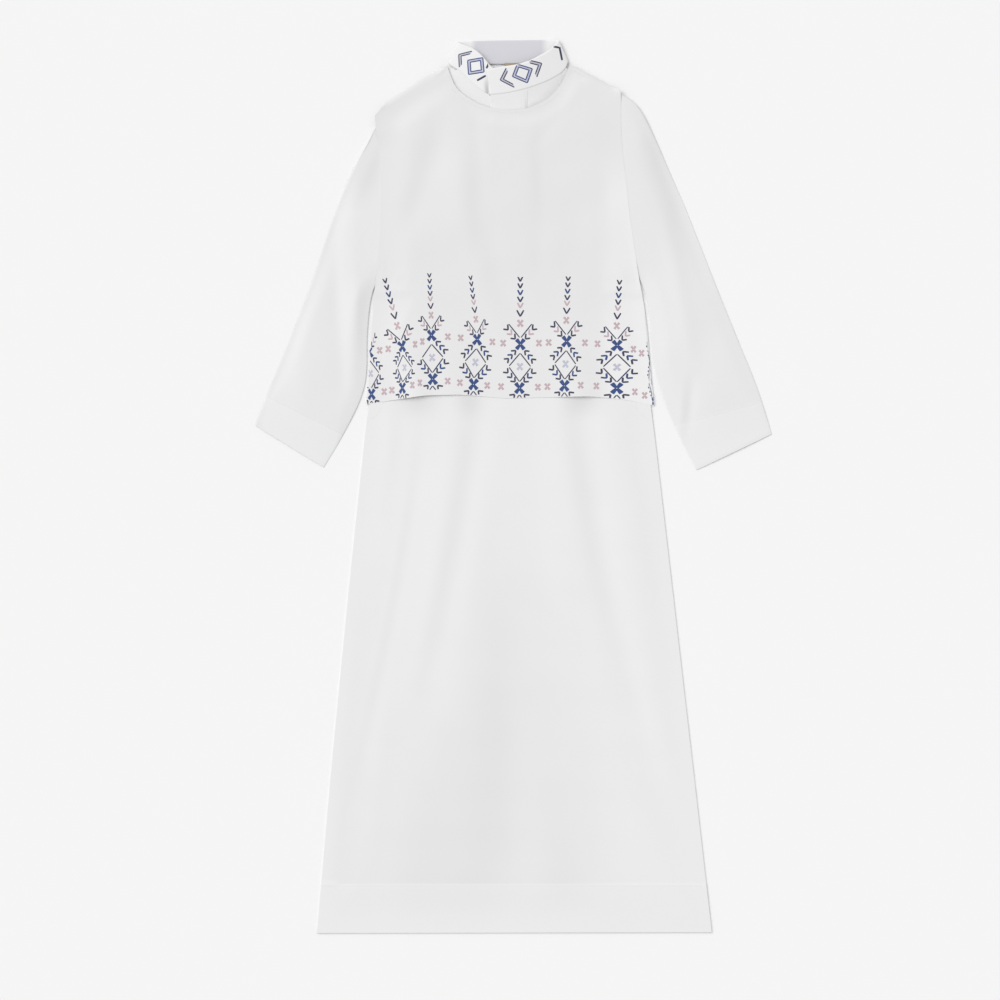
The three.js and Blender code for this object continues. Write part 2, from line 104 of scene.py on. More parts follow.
def make_object(name, data):
    """A new object in the scene, for a mesh, a light or a camera."""
    made = bpy.data.objects.new(name, data)
    bpy.context.scene.collection.objects.link(made)
    return made


def refine(shell, levels=2, sharp_turn=2.5, rim_crease=0.7):
    """Subdivides a shell to fine smooth cloth. Corners of an open edge and the rims of a closed
    wall stay where they are. A turn of an open edge is an angle in radians, pi when it is straight."""
    corner = shell.verts.layers.float.new("crease_vert")
    crease = shell.edges.layers.float.new("crease_edge")
    for vertex in shell.verts:
        rim = [edge.other_vert(vertex).co - vertex.co for edge in vertex.link_edges if edge.is_boundary]
        if len(rim) == 2 and rim[0].xy.angle(rim[1].xy) < sharp_turn:
            vertex[corner] = 1
    for edge in shell.edges:
        if edge.is_manifold and edge.calc_face_angle() > math.radians(60):
            edge[crease] = rim_crease
    coarse = bpy.data.meshes.new("coarse")
    shell.to_mesh(coarse)
    draft = make_object("draft", coarse)
    fine = draft.modifiers.new("fine", "SUBSURF")
    fine.levels = levels
    fine.render_levels = levels
    fine.boundary_smooth = "PRESERVE_CORNERS"
    smooth = draft.evaluated_get(bpy.context.evaluated_depsgraph_get())
    shell.clear()
    shell.from_mesh(bpy.data.meshes.new_from_object(smooth))
    bpy.data.objects.remove(draft)


def plan(shell):
    """Where the vertices lie, in millimetres: across the garment, along it from the hem line, and
    over the table."""
    places = np.array([vertex.co for vertex in shell.verts])
    return places[:, 0] / MM, (places[:, 1] - HEM_Y) / MM, places[:, 2] / MM


def shift_up(shell, lifts):
    """Moves the vertices up by these millimetres."""
    for vertex, lift in zip(shell.verts, lifts):
        vertex.co.z += float(lift) * MM


def ease(start, end, value):
    """0 before start, 1 after end and smooth between them."""
    t = np.clip((value - start) / (end - start), 0, 1)
    return t * t * (3 - 2 * t)


def folds_at(folds, x, h, fade=30):
    """How far a table of folds lifts the cloth at each place. A fold is a soft ridge, or a trough
    where its lift is negative, and dies away past its ends. Its row gives its top point, how far
    across its middle lies, its low point, its lift at each of these three, and its width."""
    total = np.zeros_like(x)
    for (top_x, top_h), mid_x, (low_x, low_h), lift, width in folds:
        length = top_h - low_h
        along = (top_h - h) / length
        t = np.clip(along, 0, 1)

        def through(a, b, c):
            control = 2 * b - (a + c) / 2
            return (1 - t) ** 2 * a + 2 * t * (1 - t) * control + t ** 2 * c

        slope = (low_x - top_x) / length
        distance = (x - through(top_x, mid_x, low_x)) / math.hypot(1, slope)
        past_end = np.abs(along - t) * length
        beside = np.exp(-(distance / width) ** 2)
        total += through(*lift) * beside * (1 - ease(0, fade, past_end))
    return total


def waves_at(x, h, seed, height=0.22, shortest=35, longest=120, count=14):
    """The faint unevenness of cloth that was pressed and laid by hand."""
    draw = np.random.default_rng(seed)
    total = np.zeros_like(x)
    for _ in range(count):
        heading = draw.uniform(0, math.pi)
        period = draw.uniform(shortest, longest)
        start = draw.uniform(0, 2 * math.pi)
        total += np.sin((x * math.cos(heading) + h * math.sin(heading)) * 2 * math.pi / period + start)
    return total * height / math.sqrt(count / 2)


def note_painted_shade(shell, values):
    """Keeps at each vertex how much painted shade its material mixes in, from 0 to 1."""
    layer = shell.verts.layers.float.new("painted_shade")
    for vertex, value in zip(shell.verts, values):
        vertex[layer] = float(value)


def rim_of(shell):
    """Marks the vertices on the open edge of a panel."""
    return np.array([vertex.is_boundary for vertex in shell.verts])


def score_line(shell, start, end, wide=1.2):
    """Cuts two close edge lines across a shell along a line given in plan millimetres, so that a
    turned hem can end there in a crisp step."""
    first = Vector((start[0] * MM, start[1] * MM + HEM_Y, 0))
    last = Vector((end[0] * MM, end[1] * MM + HEM_Y, 0))
    across = (last - first).cross(Vector((0, 0, 1))).normalized()
    for side in (-0.5, 0.5):
        bmesh.ops.bisect_plane(
            shell,
            geom=shell.verts[:] + shell.edges[:] + shell.faces[:],
            dist=0.01 * MM,
            plane_co=first + across * side * wide * MM,
            plane_no=across,
        )


def finish_cloth(shell, name, material, thickness=CLOTH):
    """Gives a layer its thickness, downwards from its outer face, and makes it an object."""
    shell.normal_update()
    if thickness:
        bmesh.ops.solidify(shell, geom=shell.faces[:], thickness=thickness)
    mesh = bpy.data.meshes.new(name)
    shell.to_mesh(mesh)
    shell.free()
    mesh.shade_smooth()
    mesh.set_sharp_from_angle(angle=math.radians(50))
    mesh.materials.append(material)
    return make_object(name, mesh)


def add(tree, kind, inputs=(), **settings):
    """Adds a shader node with its settings, and sets or links its inputs."""
    node = tree.nodes.new("ShaderNode" + kind)
    for setting, value in settings.items():
        setattr(node, setting, value)
    for socket, value in dict(inputs).items():
        if isinstance(value, bpy.types.NodeSocket):
            tree.links.new(value, node.inputs[socket])
        else:
            node.inputs[socket].default_value = value
    return node


def linear(hex_colour):
    """An sRGB hex colour as linear red, green, blue and alpha."""
    channels = [int(hex_colour[i:i + 2], 16) / 255 for i in (1, 3, 5)]
    return [c / 12.92 if c <= 0.04045 else ((c + 0.055) / 1.055) ** 2.4 for c in channels] + [1]


def blank_material(name):
    """A material with no nodes yet, and its node tree."""
    material = bpy.data.materials.new(name)
    material.use_nodes = True
    material.node_tree.nodes.clear()
    return material, material.node_tree


def dress_cloth(name, light, shade, painted_shade_colour="#DDDDDD", lining_and_shade=None, lining_shade_top=0, lining_shade_span=(0, 1)):
    """Smooth plain-woven dress cloth of polyester and cotton: matt, with a faint sheen, a fine even
    thread and a faint cloudiness. Painted shade mixes it towards a grey, as much as each vertex says.
    The lining colour is for the inner face of a worked piece: the threads that show through tint it
    and painted shade darkens it, below the given top and, from side to side, inside the given span."""
    thread = 1.0 * MM        # real thread is 0.3 mm; drawn coarser so that it can show
    cloud = 60 * MM          # size of the cloudy patches
    material, tree = blank_material(name)
    place = add(tree, "TexCoord").outputs["Object"]
    patches = add(tree, "TexNoise", {"Vector": place, "Scale": 1 / cloud, "Detail": 2})
    grain = add(tree, "TexNoise", {"Vector": place, "Scale": 1 / (3 * thread), "Detail": 3})
    mixed = add(tree, "Math", {0: patches.outputs["Fac"], 1: grain.outputs["Fac"], 2: 0.1},
                operation="MULTIPLY_ADD")
    colour = add(tree, "Mix", {0: mixed.outputs[0], 6: linear(light), 7: linear(shade)}, data_type="RGBA")
    # painted shade: each vertex's value mixes the cloth towards a grey
    painted_shade = add(tree, "Attribute", attribute_name="painted_shade").outputs["Fac"]
    colour = add(tree, "Mix", {0: painted_shade, 6: colour.outputs[2], 7: linear(painted_shade_colour)}, data_type="RGBA")
    # the lining colour: the tint of threads that show through, with painted shade
    if lining_and_shade:
        spot = add(tree, "SeparateXYZ", {0: place}).outputs
        inner = 1
        limits = [
            ("X", lining_shade_span[0], 3 * MM, 0, 1),
            ("X", lining_shade_span[1], 4 * MM, 1, 0),
            ("Z", lining_shade_top, 0.5 * MM, 1, 0),
        ]
        for axis, limit, fade, before, after in limits:
            step = add(tree, "MapRange", {
                0: spot[axis], 1: limit - fade, 2: limit + fade, 3: before, 4: after})
            inner = add(tree, "Math", {0: inner, 1: step.outputs[0]}, operation="MULTIPLY").outputs[0]
        colour = add(tree, "Mix", {0: inner, 6: colour.outputs[2], 7: linear(lining_and_shade)}, data_type="RGBA")
    threads = []
    for direction in ("X", "Y"):
        wave = add(tree, "TexWave", {"Vector": place, "Scale": WAVE_PERIOD / thread,
                                     "Distortion": 0.4, "Detail": 1}, bands_direction=direction)
        threads.append(wave.outputs["Fac"])
    weave = add(tree, "Math", {0: threads[0], 1: threads[1]}, operation="MULTIPLY")
    bump = add(tree, "Bump", {"Height": weave.outputs[0], "Strength": 0.12, "Distance": 0.15 * MM})
    surface = add(tree, "BsdfPrincipled", {
        "Base Color": colour.outputs[2], "Roughness": 0.82, "Sheen Weight": 0.12,
        "Sheen Roughness": 0.45, "Normal": bump.outputs[0]})
    add(tree, "OutputMaterial", {"Surface": surface.outputs[0]})
    return material


robe_cloth = dress_cloth("white_dress_cloth", "#E9E9E9", "#E5E5E5")

back = cad_shell("thobe_back")
keep_layer(back, -1)
refine(back)
bmesh.ops.reverse_faces(back, faces=back.faces)
shift_up(back, np.full(len(back.verts), BACK_CLOTH / MM))
thobe_back = finish_cloth(back, "robe_back", robe_cloth, BACK_CLOTH)
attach(thobe_back, "root")
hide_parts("thobe_back")

# ---------------------------------------------------------------- robe front
# The front of the robe, cut like the back but for a lower neckline, with the same deep turned hem.
# It lies on the back in long soft folds that fall from under the overlay and fan out to the hem.
HEM_LINE = 57                # the turned hem is stitched at this height
HEM_HALF = 240               # a little over half the hem's width
HEM_STEP = 0.45              # how far the turned hem stands over the single cloth
HEM_REACH = 80               # over this height the front settles on the back towards the hem,
SEAM_REACH = 60              # and over this width towards the side seams
ON_BACK = 1.95               # how high its outer face lies where it rests on the back
SKIRT_FLAT = 0.5             # below the arms it lies only this share as high over that,
SKIRT_TOP = (690, 820)       # and it comes up to its full height between these
SIDE_FADE = 18               # the folds die away over this width at the side seams
HEM_SHADE_SHARE = 0.4                # share of the painted shade that still shows on the doubled hem
ARMHOLE_LOW = 762            # the side seams end here
SHOULDER_LOW = 985           # the shoulder seams lie above this height
# The side seams in plan, from the hem up to the armholes.
ROBE_SIDES = {"h": [0, 586, 770], "left": [-229, -172, -151], "right": [231, 163, 143]}
NECKLINE_LOW = 970           # the neckline lies above this height and this close to the middle
NECKLINE_HALF = 66
NECK_ALLOWANCE = 3           # the neck seam's allowance reaches this far into the collar
UNDER_FACE = 0.12            # how far under the collar's outer face the allowance lies
NECK_BLEND = 9               # the cloth comes up to the seam over this width
HIDDEN_STEP = 3              # a collar end that stands higher than this is the other, upper one
SEAM_DROP = 1.0              # how far a seamed edge rolls down to meet the back
REACH = 0.1                  # rays are cast from this far off the cloth
# The row of a fold: top point, how far across its middle lies, low point, the three lifts, width.
FRONT_FOLDS = [
    ((-56, 606), -82, (-116, 290), (0.8, 1.0, 0.4), 15),
    ((-38, 606), -60, (-90, 310), (-0.4, -0.5, -0.1), 15),
    ((-12, 606), -22, (-38, 420), (0.2, 0.2, 0.1), 16),
    ((-118, 566), -156, (-214, 113), (0.2, 0.5, 0.3), 7),
    ((-106, 566), -142, (-196, 130), (-0.2, -0.5, -0.2), 8),
    ((-146, 606), -152, (-166, 470), (0.8, 0.7, 0.1), 10),
    ((-132, 600), -138, (-150, 480), (-0.5, -0.4, -0.1), 10),
    ((56, 606), 80, (108, 320), (1.2, 1.5, 0.5), 15),
    ((86, 606), 126, (208, 90), (-1.2, -1.2, -0.5), 16),
    ((128, 600), 156, (190, 270), (0.6, 0.6, 0.3), 12),
    ((22, 600), 28, (40, 380), (-0.2, -0.3, -0.1), 18),
    ((-34, 400), -40, (-52, 70), (0.3, 0.5, 0.3), 26),
    ((0, 400), 2, (10, 70), (-0.3, -0.35, -0.15), 28),
    ((52, 300), 74, (100, 70), (0.3, 0.6, 0.4), 22),
    ((-150, 260), -160, (-172, 75), (0.3, 0.6, 0.3), 14),
]

# Painted shade on the front: down the middle and the left to the hem, painted shadow under the places
# where the overlay's hem lifts, and painted shade beside the neckline.
FRONT_PAINTED_SHADE = [
    ((-6, 500), -26, (-44, 40), (0, 0.45, 0.62), 40),
    ((-58, 300), -92, (-110, 40), (0, 0.38, 0.6), 44),
    ((4, 460), 34, (56, 40), (0, 0.3, 0.54), 50),
    ((-172, 420), -188, (-200, 40), (0.1, 0.28, 0.4), 36),
    ((-112, 640), -112, (-112, 622), (1, 1, 1), 20),
    ((-52, 640), -52, (-52, 622), (1, 1, 1), 15),
    ((78, 640), 78, (78, 622), (1, 1, 1), 20),
    ((60, 1000), 46, (23, 961), (0.6, 1, 1), 5),
]


def surface_of(piece, side):
    """Finds the outer face of a piece, seen from above (side 1) or from below (side -1)."""
    tree = BVHTree.FromPolygons(
        [vertex.co for vertex in piece.data.vertices],
        [face.vertices for face in piece.data.polygons],
    )

    def height(x, y):
        hit = tree.ray_cast(Vector((x, y, side * REACH)), Vector((0, 0, -side)))[0]
        return hit.z if hit else None

    return height


def tuck_into_collar(shell):
    """Carries a neck edge on to just under the collar's outer face, as its seam allowance does, and
    brings the cloth beside it up with it."""
    collar_face = surface_of(frame["nodes"]["collar"], 1)
    moves = []
    for vertex in shell.verts:
        high = (vertex.co.y - HEM_Y) / MM > NECKLINE_LOW
        if vertex.is_boundary and high and abs(vertex.co.x) < NECKLINE_HALF * MM:
            x, y = vertex.co.x, vertex.co.y + NECK_ALLOWANCE * MM
            face = collar_face(x, y)
            if face is not None and face - vertex.co.z < HIDDEN_STEP * MM:
                moves.append((vertex, vertex.co.copy(), Vector((x, y, face - UNDER_FACE * MM))))
    seam = np.array([start.xy for _, start, _ in moves])
    rises = np.array([end.z - start.z for _, start, end in moves])
    for vertex in shell.verts:
        gaps = np.hypot(*(seam - np.array(vertex.co.xy)).T) / MM
        nearest = int(np.argmin(gaps))
        if gaps[nearest] < NECK_BLEND:
            vertex.co.z += rises[nearest] * float(1 - ease(0, NECK_BLEND, gaps[nearest]))
    for vertex, _, end in moves:
        vertex.co = end


front = cad_shell("thobe_front")
keep_layer(front, 1)
refine(front)
score_line(front, (-HEM_HALF, HEM_LINE), (HEM_HALF, HEM_LINE))
x, h, z = plan(front)
from_side = np.minimum(x - np.interp(h, ROBE_SIDES["h"], ROBE_SIDES["left"]),
                       np.interp(h, ROBE_SIDES["h"], ROBE_SIDES["right"]) - x)
inside = ease(0, SIDE_FADE, from_side)
flat = (1 - SKIRT_FLAT) * (1 - ease(*SKIRT_TOP, h))
lifts = (folds_at(FRONT_FOLDS, x, h) + waves_at(x, h, WAVE_SEED)) * inside * ease(0, HEM_REACH, h)
lifts += (ON_BACK - z) * flat
closed = np.maximum(1 - ease(0, HEM_REACH, h), (1 - ease(0, SEAM_REACH, from_side)) * (h < ARMHOLE_LOW))
lifts += (ON_BACK - z - lifts) * closed + HEM_STEP * (h < HEM_LINE)
lifts[rim_of(front) & (h > SHOULDER_LOW) & (np.abs(x) > NECKLINE_HALF)] -= SEAM_DROP
# painted shade on the front, less of it on the doubled hem
note_painted_shade(front, folds_at(FRONT_PAINTED_SHADE, x, h) * inside * np.where(h > HEM_LINE, 1, HEM_SHADE_SHARE))
shift_up(front, lifts)
tuck_into_collar(front)
thobe_front = finish_cloth(front, "robe_front", robe_cloth)
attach(thobe_front, "root")
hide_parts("thobe_front")

# ---------------------------------------------------------------- placket
# The strip that covers the neck opening, folded from the same cloth and sewn down the front with two
# rows of stitches. Only its top shows, the rest runs on under the overlay.
PRESSED_EDGE = 0.3           # how far the strip's stitched edges stand off the robe
STRIP_CLOTH = 1.1 * MM       # the strip is folded double

placket = cad_shell("placket")
keep_layer(placket, 1)
refine(placket)
x, h, _ = plan(placket)
shift_up(placket, waves_at(x, h, WAVE_SEED + 1, height=0.1, shortest=12, longest=30))
on_robe = surface_of(thobe_front, 1)
for vertex in placket.verts:
    if vertex.is_boundary:
        vertex.co.z = (on_robe(vertex.co.x, vertex.co.y) or vertex.co.z) + PRESSED_EDGE * MM
tuck_into_collar(placket)
placket_strip = finish_cloth(placket, "placket_strip", robe_cloth, STRIP_CLOTH)
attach(placket_strip, "root")
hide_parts("placket")

# ---------------------------------------------------------------- sleeves
# Long straight sleeves, each cut in one piece, folded along its outer edge and seamed along the inner
# one, with a deep turned cuff. They are set into the armholes and lie beside the body.
CUFF_STEP = 0.25             # how far the turned cuff stands over the single cloth
CUFF_PRESS = 0.72            # how much thinner the layers lie at a cuff's end
EDGE_PRESS = 0.5             # and along the folded outer edge and the inner seam,
PRESS_REACH = 22             # over this distance from them
CUFF_REACH = (-30, 38)       # the cuff gets thinner between these, from its stitch line to its end
UPPER_LAYER = (1.5, 2.4)     # what lies over these heights is the upper layer
HEAD_LAYER = (1.2, 2.6)      # and the same at the sleeve head
HEAD_LOW = (735, 790)        # where the sleeve head begins
ROW = 8                      # the edges are found in rows of this height
SINGLE_LAYER_SHADE = 0.2             # painted shade on the single layer above the cuff, standing in for light that passes through it
EDGE_PAINTED_SHADE = 0.6               # painted shade along a fold that faces the light,
EDGE_WIDE = 12               # this wide on the left sleeve
SLEEVES = {
    "left": {
        "cuff": [(-288, 625), (-198, 580)],
        "folds": [
            ((-206, 820), -204, (-196, 632), (-0.3, -0.8, -0.3), 8),
            ((-186, 850), -183, (-180, 670), (0.3, 0.8, 0.2), 7),
            ((-226, 800), -240, (-252, 640), (0.2, 0.6, 0.2), 9),
            ((-160, 930), -170, (-184, 820), (0.4, 0.7, 0.2), 8),
        ],
    },
    "right": {
        "cuff": [(284, 617), (199, 593)],
        "folds": [
            ((152, 940), 200, (232, 728), (-0.5, -1.0, -0.2), 8),
            ((164, 870), 190, (210, 655), (0.4, 0.9, 0.3), 9),
            ((208, 642), 206, (202, 576), (-0.4, -0.9, -0.3), 5),
            ((197, 642), 196, (193, 584), (0.3, 0.7, 0.2), 5),
            ((143, 944), 136, (127, 918), (-0.4, -0.9, -0.3), 4),
        ],
    },
}
# The overlay's side edges in plan, and how high the sleeve heads come up to meet them.
OVERLAY_SIDES = {
    "left": ([614, 702, 790, 912, 952], [-171.5, -167, -157.5, -156, -161.5]),
    "right": ([614, 702, 790, 912, 952], [164, 156, 142, 126.5, 125]),
}
HEAD_HEIGHTS = {
    "h": [740, 780, 850, 900, 960],
    "left": [3, 5.6, 6.9, 6.9, 6.2],
    "right": [3, 6.4, 8.6, 8.8, 8.2],
}
HEAD_REACH = 60              # from the overlay's edge outwards
# Painted shade on each sleeve head beside the overlay's edge.
SLEEVE_PAINTED_SHADE = {
    "left": ((-164, 940), -170, (-184, 850), (0.7, 1, 0.3), 16),
    "right": ((158, 920), 176, (192, 790), (0.3, 0.4, 0.1), 14),
}

for side, made in SLEEVES.items():
    tube = cad_shell(f"sleeve_{side}")
    refine(tube)
    score_line(tube, *made["cuff"])
    x, h, z = plan(tube)
    upper = ease(*UPPER_LAYER, z)
    (x0, h0), (x1, h1) = made["cuff"]
    in_cuff = ((x - x0) * (h1 - h0) - (h - h0) * (x1 - x0)) / math.hypot(x1 - x0, h1 - h0)
    in_cuff *= 1 if side == "left" else -1
    lifts = folds_at(made["folds"], x, h, fade=16) + waves_at(x, h, WAVE_SEED + 2, height=0.18)
    lifts += CUFF_STEP * (in_cuff > 0)
    outwards = x if side == "right" else -x
    levels = np.arange(h.min(), h.max(), ROW)
    rows = [outwards[np.abs(h - level) < ROW] for level in levels]
    from_fold = np.interp(h, levels, [row.max() for row in rows]) - outwards
    from_seam = outwards - np.interp(h, levels, [row.min() for row in rows])
    at_head = ease(*HEAD_LOW, h)
    pressed = np.maximum(EDGE_PRESS * (1 - ease(0, PRESS_REACH, from_fold)),
                         EDGE_PRESS * (1 - ease(0, PRESS_REACH, from_seam)) * (1 - at_head))
    pressed = np.maximum(pressed, CUFF_PRESS * ease(*CUFF_REACH, in_cuff))
    out = (x - np.interp(h, *OVERLAY_SIDES[side])) * (1 if side == "right" else -1)
    cad_top = surface_of(frame["nodes"][f"sleeve_{side}"], 1)
    tops = [cad_top(vertex.co.x, vertex.co.y) or vertex.co.z for vertex in tube.verts]
    rise = np.interp(h, HEAD_HEIGHTS["h"], HEAD_HEIGHTS[side]) - np.array(tops) / MM
    head = (1 - ease(0, HEAD_REACH, out)) * at_head * ease(*HEAD_LAYER, z)
    shift_up(tube, (lifts * upper * (1 - head) + z) * (1 - pressed) - z + rise * head)
    # painted shade: along the left sleeve's outer fold, beside the overlay and on the single layer
    shaded = EDGE_PAINTED_SHADE * (side == "left") * (1 - ease(0, EDGE_WIDE, from_fold))
    note_painted_shade(tube, folds_at([SLEEVE_PAINTED_SHADE[side]], x, h, fade=12) + SINGLE_LAYER_SHADE * (in_cuff < 0) + shaded)
    sleeve = finish_cloth(tube, f"set_in_sleeve_{side}", robe_cloth, 0)
    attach(sleeve, "root")
    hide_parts(f"sleeve_{side}")

# ---------------------------------------------------------------- neck label
# A plain woven label of beige tape, caught in the back neck seam. Only its upper edge shows, behind
# the collar's crossed front ends.
LABEL_ROUND = 0.25 * MM      # how far its edges are rounded


def ribbed_thread(name, light, dark, rib, direction, waves, relief, gloss):
    """Fine close ribs of thread with a slight gloss. waves is the distortion and detail of the
    ribs, and gloss the roughness and sheen."""
    material, tree = blank_material(name)
    place = add(tree, "TexCoord").outputs["Object"]
    ribs = add(tree, "TexWave", {"Vector": place, "Scale": WAVE_PERIOD / rib,
                                 "Distortion": waves[0], "Detail": waves[1]}, bands_direction=direction)
    colour = add(tree, "Mix", {"Factor": ribs.outputs["Fac"], 6: linear(dark), 7: linear(light)},
                 data_type="RGBA")
    bump = add(tree, "Bump", {"Height": ribs.outputs["Fac"], "Strength": relief, "Distance": 0.1 * MM})
    surface = add(tree, "BsdfPrincipled", {
        "Base Color": colour.outputs[2], "Roughness": gloss[0], "Sheen Weight": gloss[1],
        "Normal": bump.outputs[0]})
    add(tree, "OutputMaterial", {"Surface": surface.outputs[0]})
    return material


def label_tape(name, light, dark):
    """Woven polyester tape: close ribs across it."""
    rib = 0.8 * MM           # real ribs are 0.3 mm; drawn coarser so that they can show
    return ribbed_thread(name, light, dark, rib, "Y", waves=(0.6, 2), relief=0.3, gloss=(0.6, 0.2))


tape = cad_shell("neck_label")
bmesh.ops.bevel(
    tape, geom=tape.edges[:], offset=LABEL_ROUND, offset_type="OFFSET", affect="EDGES",
    segments=2, profile=0.5, material=-1,
)
label = finish_cloth(tape, "woven_label", label_tape("beige_label_tape", "#B9A98F", "#8F8069"), 0)
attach(label, "root")
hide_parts("neck_label")

# ---------------------------------------------------------------- overlay back
# The back of the cropped overlay, the lowest layer: a plain panel of the same white cloth, cut like
# its front. It lies flat on the table.
UNDER_RISE = 1.1             # leaves room below it for the thread of its border
overlay_cloth = dress_cloth("white_overlay_cloth", "#EDEDED", "#EAEAEA")

under = cad_shell("overlay_back")
keep_layer(under, -1)
refine(under, levels=3)
bmesh.ops.reverse_faces(under, faces=under.faces)
shift_up(under, np.full(len(under.verts), UNDER_RISE))
overlay_back = finish_cloth(under, "overlay_back_panel", overlay_cloth)
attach(overlay_back, "root")
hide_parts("overlay_back")

# ---------------------------------------------------------------- overlay front
# The front of the overlay, with a round neckline. It lies over the robe and the sleeve heads, and its
# hem lifts in two ridges off the folds below.
OVERLAY_FOLDS = [
    ((-56, 915), -49, (-14, 712), (0.7, 2.5, 1.9), 17),
    ((-86, 941), -102, (-132, 813), (-0.2, -0.4, -0.1), 12),
    ((-49, 954), -22, (12, 908), (-0.3, -0.5, -0.1), 8),
    ((52, 954), 38, (20, 908), (-0.3, -0.5, -0.1), 8),
    ((-116, 690), -110, (-106, 622), (-0.3, -0.8, -1.2), 8),
    ((40, 800), 60, (70, 660), (0.1, 0.6, 0.4), 12),
]

OVERLAY_CLOTH = 0.5 * MM
OVERLAY_HEM = ([-171, -105, -63, -8, 90, 164], [616, 626, 627, 622.5, 625, 614])
OVERLAY_FADE = 14            # the folds die away over this width at the side edges
SIDE_SEAM = (628, 735)       # the overlay's side seams run between these heights,
SEAM_BLEND = 760             # and what holds beside them ends here
ARMHOLE_BLEND = 755          # what holds beside the armholes begins between the seam's end and here
ON_SLEEVE = 0.35             # how far the armhole edges stand off the sleeve heads
SIDE_REACH = 40              # the overlay comes down towards its armholes over this distance,
NECK_REACH = 22              # towards its neckline over this one,
SIDE_SETTLE = 90             # below the arms towards its side seams over this one,
EDGE_REACH = 210             # and towards its hem over this one
EDGE_STAND = 0.7             # its outer face then lies this far over what it rests on,
NECK_STAND = 2.3             # at the neckline this much more,
ON_PLACKET = 0.5             # and at least this far over the placket
UPPER_EDGES = 940            # neckline and shoulders lie above this height, the neckline
NECK_EDGE_HALF = 76          # this close to the middle
OVERLAY_PAINTED_SHADE = 0.5            # painted shade on the overlay at its hem,
UPPER_PAINTED_SHADE = 0.14             # how much more of it over the chest,
SHADE_RISE = (690, 800)        # growing between these heights,
RIGHT_LIGHTER_SHARE = 0.85           # and how much less of it at the right, where the overlay is lighter:
RIGHT_LIGHTER_EDGE = (94, 118)       # from here outwards,
RIGHT_LIGHTER_TOP = (850, 930)       # and up to here
SHOULDER_WIDE = 36           # painted shade on the left shoulder, which faces the light, reaches this far from its seam
HEM_RIDGES = [
    ((-122, 700), -118, (-114, 618), (1.2, 3, 5), 18),
    ((-70, 700), -78, (-80, 618), (0.6, 1.4, 2.4), 26),
    ((62, 700), 72, (78, 618), (0.8, 2.2, 4), 20),
]

over = cad_shell("overlay_front")
keep_layer(over, 1)
refine(over)
x, h, z = plan(over)
from_left = x - np.interp(h, *OVERLAY_SIDES["left"])
from_right = np.interp(h, *OVERLAY_SIDES["right"]) - x
from_side = np.minimum(from_left, from_right)
inside = ease(0, OVERLAY_FADE, from_side)
lifts = (folds_at(OVERLAY_FOLDS, x, h, fade=20) + waves_at(x, h, WAVE_SEED + 3)) * inside
rim = rim_of(over)
lifts[rim & (h > SIDE_SEAM[0]) & (h < SIDE_SEAM[1])] -= SEAM_DROP
heads = [np.interp(h, HEAD_HEIGHTS["h"], HEAD_HEIGHTS[side]) for side in ("left", "right")]
edge = np.where(from_left < from_right, *heads) + ON_SLEEVE
beside = (1 - ease(0, SIDE_REACH, from_side)) * ease(SIDE_SEAM[1], ARMHOLE_BLEND, h)
lifts += (np.minimum(edge, z + lifts) - z - lifts) * beside
on_placket = surface_of(placket_strip, 1)
from_hem = h - np.interp(x, *OVERLAY_HEM)
ridge = folds_at(HEM_RIDGES, x, h, fade=20)
close = 1 - ease(0, EDGE_REACH, from_hem)
neck = rim & (h > UPPER_EDGES) & (np.abs(x) < NECK_EDGE_HALF)
from_neck = np.hypot(x[:, None] - x[neck], h[:, None] - h[neck]).min(axis=1)
near_neck = 1 - ease(0, NECK_REACH, from_neck)
close = np.maximum(close, near_neck)
near_seam = (1 - ease(0, SIDE_SETTLE, from_side)) * (1 - ease(SIDE_SEAM[1], SEAM_BLEND, h))
close = np.maximum(close, near_seam)
stand = EDGE_STAND + NECK_STAND * near_neck + ridge
for i, vertex in enumerate(over.verts):
    robe_height = on_robe(*vertex.co.xy)
    if robe_height is None and h[i] < ARMHOLE_BLEND:
        robe_height = ON_BACK * MM
    if robe_height is not None:
        strip_height = on_placket(*vertex.co.xy) or 0
        settled = max(robe_height / MM + stand[i], strip_height / MM + ON_PLACKET)
        lifts[i] += (min(settled, z[i] + lifts[i]) - z[i] - lifts[i]) * close[i]
shift_up(over, lifts)
# Painted shade over the overlay: less of it at the right, more along the left shoulder.
lighter_right = ease(*RIGHT_LIGHTER_EDGE, x) * (1 - ease(*RIGHT_LIGHTER_TOP, h))
shoulder = rim & (h > UPPER_EDGES) & (x < -NECK_EDGE_HALF)
from_shoulder = np.hypot(x[:, None] - x[shoulder], h[:, None] - h[shoulder]).min(axis=1)
shaded = EDGE_PAINTED_SHADE * (1 - ease(0, SHOULDER_WIDE, from_shoulder))
note_painted_shade(over, (OVERLAY_PAINTED_SHADE + UPPER_PAINTED_SHADE * ease(*SHADE_RISE, h)) * (1 - RIGHT_LIGHTER_SHARE * lighter_right) + shaded)
overlay_front = finish_cloth(over, "overlay_front_panel", overlay_cloth, OVERLAY_CLOTH)
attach(overlay_front, "root")
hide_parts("overlay_front")

# ---------------------------------------------------------------- collar
# The stand collar: one band of cloth over interlining, folded at its upper edge, that goes round the
# neck with its right end lying over the left one.
LINING_SHADE_TOP = 3.4 * MM        # the collar's inner face at the back of the neck lies under this height: threads showing through tint it and painted shade darkens it
LINING_SHADE_SPAN = (-47 * MM, 36 * MM)
# Painted shadow in the gap beside the upper end's edge, where the lower end runs on under it.
GAP_PAINTED_SHADOW = [((-31.5, 994), -31, (-29.4, 974), (0.2, 0.9, 1), 2.6)]
GAP_SHADOW_RIGHT = -28.9
